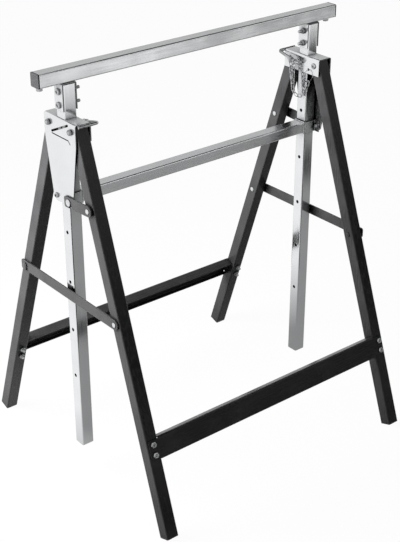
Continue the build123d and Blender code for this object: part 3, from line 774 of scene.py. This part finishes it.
class TRESTLE_OT_chains(Operator):
    """Chains between the rings in the plates and the lock pins, split into three strands of links"""

    bl_idname = "trestle.chains"
    bl_label = "Chains"

    def execute(self, context):
        size = context.scene.trestle_sizes
        for end in ENDS:
            ring_low, ring_high = (Vector(corner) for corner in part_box(f"chain_ring_{end}"))
            eye_low, eye_high = (Vector(corner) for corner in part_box(f"pin_ring_{end}"))
            near, far = (ring_low.y + ring_high.y) / 2, (eye_low.y + eye_high.y) / 2
            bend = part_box(f"chain_{end}")[0][2] + size.chain_bend
            turn = near + size.chain_turn * (far - near)
            route = [Vector((0, turn, ring_low.z)), Vector((0, turn, bend)), Vector((0, far, bend)),
                     Vector((0, far, eye_low.z))]
            runs = [stop - start for start, stop in zip(route, route[1:])]
            total, done = sum(run.length for run in runs), 0
            for number, strand in enumerate(("ring_strand", "turn", "pin_strand")):
                piece = self.strand(f"chain_{end}", strand, number, near, far)
                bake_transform(piece)
                done += runs[number].length
        return {"FINISHED"}

    def strand(self, node, strand, number, near, far):
        """Links of one strand: 0 hangs from the ring, 1 is the low turn, 2 rises to the pin."""
        mesh = welded(node)
        others = []
        for part in islands(mesh):
            share = (sum(vert.co.y for vert in part) / len(part) - far) / (near - far)
            if number != (0 if share > RING_STRAND else 2 if share < PIN_STRAND else 1):
                others += part
        bmesh.ops.delete(mesh, geom=others, context="VERTS")
        return new_piece(f"{node}_{strand}", mesh, bpy.data.materials["zinc_chain"], None,
                         [node])


# Grey cards, painted reflections that only mirror-like surfaces see; the floor_card, darker near the
# trestle's front, is painted shadow of the floor: name, place, facing, size, the point that the shading
# starts from, its reach, its greys
CARDS = (
    ("floor_card", (0, 0, 0.004), (0, 0, 1), (5, 5),
     (0.5, -0.75, 0), (0.95, 1.3), (0.3, 1.0)),
    ("front_card", (1.1, -1.75, 0.8), (-0.53, 0.85, 0), (3.6, 1.0),
     (1.1, -1.75, 4.0), (2.9, 3.6), (1.0, 0.01)),
    ("brow_card", (1.1, -1.75, 2.5), (-0.53, 0.85, 0), (3.6, 1.2),
     (1.1, -1.75, 2.5), (0.0, 2.0), (0.0, 0.02)),
    ("low_card", (2.5, -4.2, 1.0), (-0.53, 0.85, 0), (7.0, 2.0),
     (2.5, -4.2, 4.0), (3.0, 4.0), (0.02, 0.0)),
    ("right_card", (1.8, -1.535, 0.006), (0, 0, 1), (0.9, 0.67),
     (1.5, -1.3, 0), (0.15, 0.9), (0.005, 0.2)),
    ("spot_card", (1.12, -0.88, 0.007), (0, 0, 1), (0.4, 0.4),
     (1.12, -0.88, 0), (0.05, 0.2), (0.02, 0.3)),
    ("top_card", (1.5, -0.75, 2.7), (-0.5, 0.25, -0.83), (1.8, 1.8),
     (1.5, -0.75, 2.7), (0, 2), (0.0, 0.02)),
    ("crown_card", (1.4, 0.7, 2.5), (-0.55, -0.28, -0.79), (1.6, 1.3),
     (1.4, 0.7, 2.5), (0, 2), (0.0, 0.02)),
    ("near_card", (-0.6, -0.95, 0.008), (0, 0, 1), (1.1, 1.1),
     (-0.6, -0.95, 0), (0.5, 0.8), (0.01, 0.3)),
    ("back_card", (1.7, 2.1, 1.9), (-0.6, -0.75, -0.3), (4.0, 2.4),
     (0, 0, 1), (2, 4), (0.56, 0.5)),
)


class TRESTLE_OT_stage(Operator):
    """Floor, lamps, world and camera of the photo stage"""

    bl_idname = "trestle.stage"
    bl_label = "Stage"

    def execute(self, context):
        scene = context.scene
        stage = scene.trestle_stage
        scene.view_settings.view_transform = "Standard"
        self.world(scene, stage)
        self.floor(scene, stage)
        self.lamp(scene, "key_lamp", stage.key, (-0.85, 0.5, 0.95), (0, 0, 0.5), 0.8, 0.8)
        self.lamp(scene, "fill_lamp", stage.fill, (0.1, -0.9, 1.5), (0, -0.1, 0.6), 1.0, 0.6)
        for row in CARDS:
            self.card(scene, *row)
        self.camera(scene, stage)
        return {"FINISHED"}

    def seen(self, make):
        """1 for rays from the camera, from gloss and through glass."""
        path = make.add("ShaderNodeLightPath")
        either = make.add("ShaderNodeMath", operation="MAXIMUM")
        make.join(path.outputs["Is Camera Ray"], either.inputs[0])
        make.join(path.outputs["Is Glossy Ray"], either.inputs[1])
        any_of = make.add("ShaderNodeMath", operation="MAXIMUM")
        make.join(either.outputs[0], any_of.inputs[0])
        make.join(path.outputs["Is Transmission Ray"], any_of.inputs[1])
        return any_of.outputs[0]

    def world(self, scene, stage):
        """White surroundings that light the trestle only a little."""
        world = bpy.data.worlds.new("studio")
        scene.world = world
        world.use_nodes = True
        make = Nodes(world.node_tree)
        world.node_tree.nodes.clear()
        out = make.add("ShaderNodeOutputWorld")
        light = make.add("ShaderNodeBackground")
        light.inputs["Color"].default_value = (1, 1, 1, 1)
        strength = make.add("ShaderNodeMapRange")
        strength.inputs["To Min"].default_value = stage.ambient
        strength.inputs["To Max"].default_value = 1.0
        make.join(self.seen(make), strength.inputs["Value"])
        make.join(strength.outputs["Result"], light.inputs["Strength"])
        make.join(light.outputs["Background"], out.inputs["Surface"])

    def sheet(self, scene, name, material_name, size, turn):
        """Flat piece of the stage with a bare material, ready for its shader."""
        mesh = bmesh.new()
        bmesh.ops.create_grid(mesh, x_segments=1, y_segments=1, size=0.5)
        bmesh.ops.transform(mesh, verts=mesh.verts, matrix=turn @ Matrix.Diagonal((*size, 1, 1)))
        data = bpy.data.meshes.new(name)
        mesh.to_mesh(data)
        mesh.free()
        piece = bpy.data.objects.new(name, data)
        scene.collection.objects.link(piece)
        material = bpy.data.materials.new(material_name)
        material.use_nodes = True
        material.node_tree.nodes.clear()
        data.materials.append(material)
        return piece, Nodes(material.node_tree)

    def floor(self, scene, stage):
        """White floor that keeps a faint shadow."""
        sides = (stage.floor_size, stage.floor_size)
        floor, make = self.sheet(scene, "floor", "floor_paper", sides, Matrix())
        out = make.add("ShaderNodeOutputMaterial")
        paper = make.add("ShaderNodeBsdfDiffuse")
        path = make.add("ShaderNodeLightPath")
        tone = ramp(make, path.outputs["Is Camera Ray"], stage.floor_bounce, stage.floor_tone, 0, 1)
        make.join(tone, paper.inputs["Color"])
        white = make.add("ShaderNodeEmission")
        white.inputs["Color"].default_value = (1, 1, 1, 1)
        white.inputs["Strength"].default_value = 1.0
        plain = make.add("ShaderNodeMath", operation="MULTIPLY")
        plain.inputs[1].default_value = stage.floor_glow
        make.join(self.seen(make), plain.inputs[0])
        mix = make.add("ShaderNodeMixShader")
        make.join(plain.outputs[0], mix.inputs["Fac"])
        make.join(paper.outputs["BSDF"], mix.inputs[1])
        make.join(white.outputs["Emission"], mix.inputs[2])
        make.join(mix.outputs["Shader"], out.inputs["Surface"])

    def card(self, scene, name, place, facing, size, centre, reach, grey):
        """Grey studio card that only mirror-like surfaces see, shaded by the distance from a point."""
        turn = Vector(facing).to_track_quat("Z", "Y").to_matrix().to_4x4()
        card, make = self.sheet(scene, name, name, size, Matrix.Translation(place) @ turn)
        out = make.add("ShaderNodeOutputMaterial")
        glow = make.add("ShaderNodeEmission")
        where = make.add("ShaderNodeTexCoord")
        away = make.add("ShaderNodeVectorMath", operation="DISTANCE")
        away.inputs[1].default_value = centre
        make.join(where.outputs["Object"], away.inputs[0])
        make.join(ramp(make, away.outputs["Value"], *grey, *reach), glow.inputs["Strength"])
        make.join(glow.outputs["Emission"], out.inputs["Surface"])
        card.visible_camera = False
        card.visible_diffuse = False
        card.visible_transmission = False
        card.visible_shadow = False

    def lamp(self, scene, name, power, place, aim, wide, deep):
        """Soft lamp that no surface mirrors."""
        data = bpy.data.lights.new(name, "AREA")
        data.energy = power
        data.shape = "RECTANGLE"
        data.size = wide
        data.size_y = deep
        lamp = bpy.data.objects.new(name, data)
        lamp.location = place
        lamp.visible_glossy = False
        lamp.rotation_euler = (Vector(aim) - Vector(place)).to_track_quat("-Z", "Y").to_euler()
        scene.collection.objects.link(lamp)

    def camera(self, scene, stage):
        """Camera of the photo."""
        data = bpy.data.cameras.new("camera")
        data.sensor_width = 36.0
        data.lens = stage.lens
        data.shift_x = stage.shift_x
        data.shift_y = stage.shift_y
        data.clip_end = 100.0
        camera = bpy.data.objects.new("camera", data)
        look = (Vector(stage.target) - Vector(stage.eye)).to_track_quat("-Z", "Y")
        camera.rotation_mode = "QUATERNION"
        camera.rotation_quaternion = look @ Quaternion((0, 0, 1), stage.roll)
        camera.location = stage.eye
        scene.collection.objects.link(camera)
        scene.camera = camera


class TRESTLE_PT_panel(Panel):
    """Sidebar panel with the trestle's steps"""

    bl_idname = "TRESTLE_PT_panel"
    bl_label = "Folding trestle"
    bl_space_type = "VIEW_3D"
    bl_region_type = "UI"
    bl_category = "Trestle"

    def draw(self, context):
        layout = self.layout
        scene = context.scene
        for settings in (scene.trestle_sizes, scene.trestle_finish, scene.trestle_stage):
            box = layout.box()
            for key in settings.__annotations__:
                box.prop(settings, key)
        for step in STEPS:
            layout.operator(step.bl_idname)


STEPS = (TRESTLE_OT_finishes, TRESTLE_OT_pivots, TRESTLE_OT_bolts, TRESTLE_OT_welds, TRESTLE_OT_rivets,
         TRESTLE_OT_rings, TRESTLE_OT_chains, TRESTLE_OT_stage)
CLASSES = (TrestleSizes, TrestleFinish, TrestleStage, *STEPS, TRESTLE_PT_panel)


def register():
    for item in CLASSES:
        bpy.utils.register_class(item)
    bpy.types.Scene.trestle_sizes = PointerProperty(type=TrestleSizes)
    bpy.types.Scene.trestle_finish = PointerProperty(type=TrestleFinish)
    bpy.types.Scene.trestle_stage = PointerProperty(type=TrestleStage)


def unregister():
    del bpy.types.Scene.trestle_stage
    del bpy.types.Scene.trestle_finish
    del bpy.types.Scene.trestle_sizes
    for item in reversed(CLASSES):
        bpy.utils.unregister_class(item)


def main():
    register()
    bpy.ops.trestle.finishes()
    bpy.ops.trestle.pivots()
    bpy.ops.trestle.bolts()
    bpy.ops.trestle.welds()
    bpy.ops.trestle.rivets()
    bpy.ops.trestle.rings()
    bpy.ops.trestle.chains()
    bpy.ops.trestle.stage()


if __name__ == "__main__":
    main()
